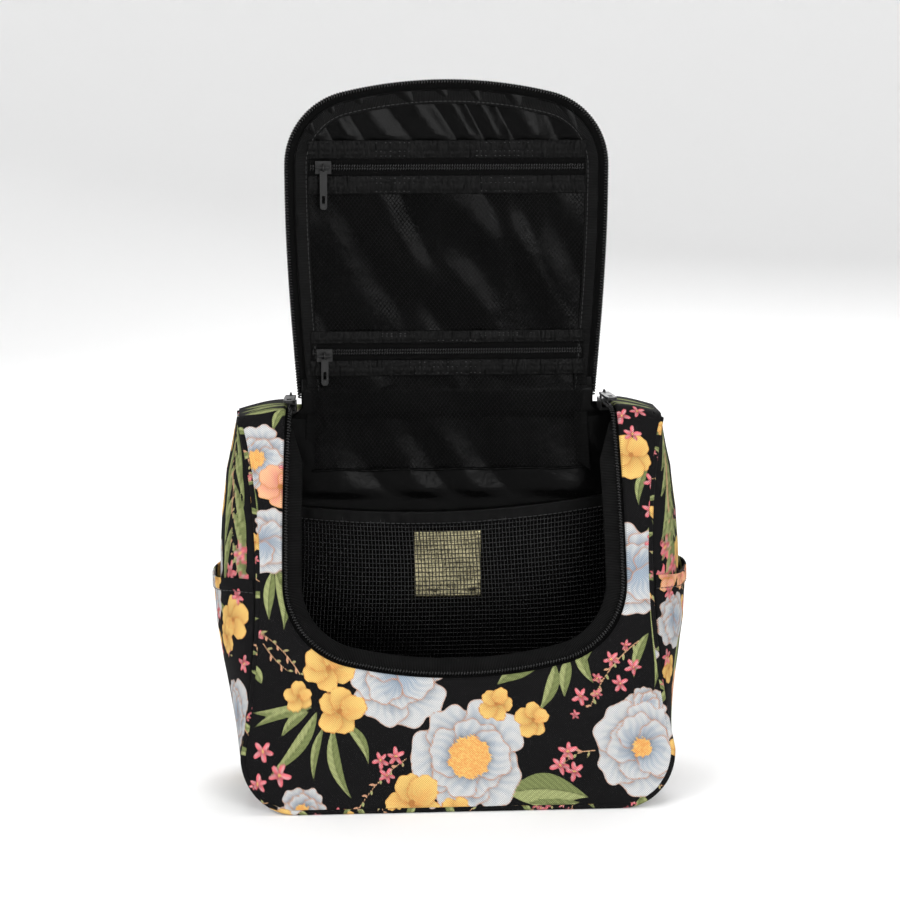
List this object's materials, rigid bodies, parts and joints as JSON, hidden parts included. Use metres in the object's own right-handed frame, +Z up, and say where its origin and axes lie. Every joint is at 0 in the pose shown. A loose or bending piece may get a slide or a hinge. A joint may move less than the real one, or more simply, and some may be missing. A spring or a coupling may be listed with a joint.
{
  "type": "hanging toiletry bag",
  "caption": "Printed canvas toiletry bag with a stiff lid on a U-shaped zip, net and mesh pockets, side slip pockets, grab handle and folding hook.",
  "frame": {"origin": "centre of the flat base, on the surface it stands on", "axes": "+X to the right seen from the front, +Y to the back, +Z up; the lid is open and upright"},
  "size_m": [0.236, 0.1092, 0.356],
  "materials": {
    "printed_canvas": "coated polyester canvas with a floral print",
    "piping_fabric": "printed canvas over cord",
    "satin_lining": "black satin",
    "foam": "closed-cell foam sheet",
    "board": "semi-rigid sheet",
    "zip_tape": "woven tape",
    "zip_coil": "nylon coil",
    "grosgrain": "ribbed binding",
    "mesh": "coarse square mesh",
    "net": "fine diamond netting",
    "label_foil": "gold foil patch with no marking",
    "slider_metal": "black enamelled zinc",
    "webbing": "woven webbing",
    "ring_steel": "black enamelled wire",
    "hook_plastic": "moulded acetal"
  },
  "bodies": {
    "body": {"front_panel": "printed_canvas", "front_foam": "foam", "front_lining": "satin_lining", "back_panel": "printed_canvas", "back_foam": "foam", "back_lining": "satin_lining", "left_gusset": "printed_canvas", "right_gusset": "printed_canvas", "base_panel": "printed_canvas", "left_lining": "satin_lining", "right_lining": "satin_lining", "base_board": "board", "base_lining": "satin_lining", "front_piping": "piping_fabric", "back_piping": "piping_fabric", "right_pocket": "printed_canvas", "left_pocket": "printed_canvas", "body_coil_front": "zip_coil", "body_tape_front": "zip_tape", "body_coil_shoulder": "zip_coil", "body_tape_shoulder": "zip_tape", "zip_guard": "grosgrain", "mesh_pocket": "mesh", "mesh_band": "grosgrain", "label_patch": "label_foil", "lower_net_body": "net"},
    "lid_lower": {"lid_canvas_lower": "printed_canvas", "lid_tape_lower": "zip_tape", "lid_coil_lower": "zip_coil", "lid_foam_lower": "foam", "lid_lining_lower": "satin_lining", "lid_binding_lower": "grosgrain", "lower_facing_top": "zip_tape", "lower_facing_low": "zip_tape", "lower_zip_tape": "zip_tape", "lower_zip_coil": "zip_coil", "grab_handle": "webbing"},
    "lid_upper": {"lid_canvas_upper": "printed_canvas", "lid_tape_upper": "zip_tape", "lid_coil_upper": "zip_coil", "lid_foam_upper": "foam", "lid_lining_upper": "satin_lining", "lid_binding_upper": "grosgrain", "upper_facing_top": "zip_tape", "upper_facing_low": "zip_tape", "upper_zip_tape": "zip_tape", "upper_zip_coil": "zip_coil", "upper_net": "net", "hook_tab": "webbing"},
    "upper_slider": {"upper_slider": "slider_metal"},
    "upper_pull": {"upper_pull": "slider_metal"},
    "lower_slider": {"lower_slider": "slider_metal"},
    "lower_pull": {"lower_pull": "slider_metal"},
    "right_main_slider": {"right_main_slider": "slider_metal"},
    "right_main_pull": {"right_main_pull": "slider_metal"},
    "left_main_slider": {"left_main_slider": "slider_metal"},
    "left_main_pull": {"left_main_pull": "slider_metal"},
    "hanger": {"hanger_ring": "ring_steel", "hook": "hook_plastic"}
  },
  "joints": [
    {"name": "lid_hinge", "type": "hinge", "parent": "body", "child": "lid_lower", "pos_m": [0, 0.046, 0.192], "axis": [1, 0, 0], "range_deg": [-15, 90]},
    {"name": "lid_fold", "type": "hinge", "parent": "lid_lower", "child": "lid_upper", "pos_m": [0, 0.046, 0.226], "axis": [1, 0, 0], "range_deg": [-12.25, 73.2]},
    {"name": "upper_zip", "type": "slide", "parent": "lid_upper", "child": "upper_slider", "axis": [1, 0, 0], "range_m": [0, 0.126]},
    {"name": "upper_pull_swing", "type": "hinge", "parent": "upper_slider", "child": "upper_pull", "pos_m": [-0.063, 0.036, 0.312], "axis": [-1, 0, 0], "range_deg": [0, 150]},
    {"name": "lower_zip", "type": "slide", "parent": "lid_lower", "child": "lower_slider", "axis": [1, 0, 0], "range_m": [0, 0.126]},
    {"name": "lower_pull_swing", "type": "hinge", "parent": "lower_slider", "child": "lower_pull", "pos_m": [-0.063, 0.036, 0.2165], "axis": [-1, 0, 0], "range_deg": [0, 90]},
    {"name": "right_zip", "type": "slide", "parent": "body", "child": "right_main_slider", "axis": [0.0781, -0.9969, 0], "range_m": [0, 0.016]},
    {"name": "right_pull_swing", "type": "hinge", "parent": "right_main_slider", "child": "right_main_pull", "pos_m": [0.08042, 0.03627, 0.1961], "axis": [-0.9969, -0.0781, 0], "range_deg": [0, 100]},
    {"name": "left_zip", "type": "slide", "parent": "body", "child": "left_main_slider", "axis": [-0.0781, -0.9969, 0], "range_m": [0, 0.016]},
    {"name": "left_pull_swing", "type": "hinge", "parent": "left_main_slider", "child": "left_main_pull", "pos_m": [-0.08042, 0.03627, 0.1961], "axis": [-0.9969, 0.0781, 0], "range_deg": [0, 100]},
    {"name": "hanger_swing", "type": "hinge", "parent": "lid_upper", "child": "hanger", "pos_m": [0, 0.051, 0.344], "axis": [1, 0, 0], "range_deg": [0, 180]}
  ],
  "couplings": [
    {"joint": "lid_fold", "follows": "lid_hinge", "ratio": 0.81324}
  ]
}
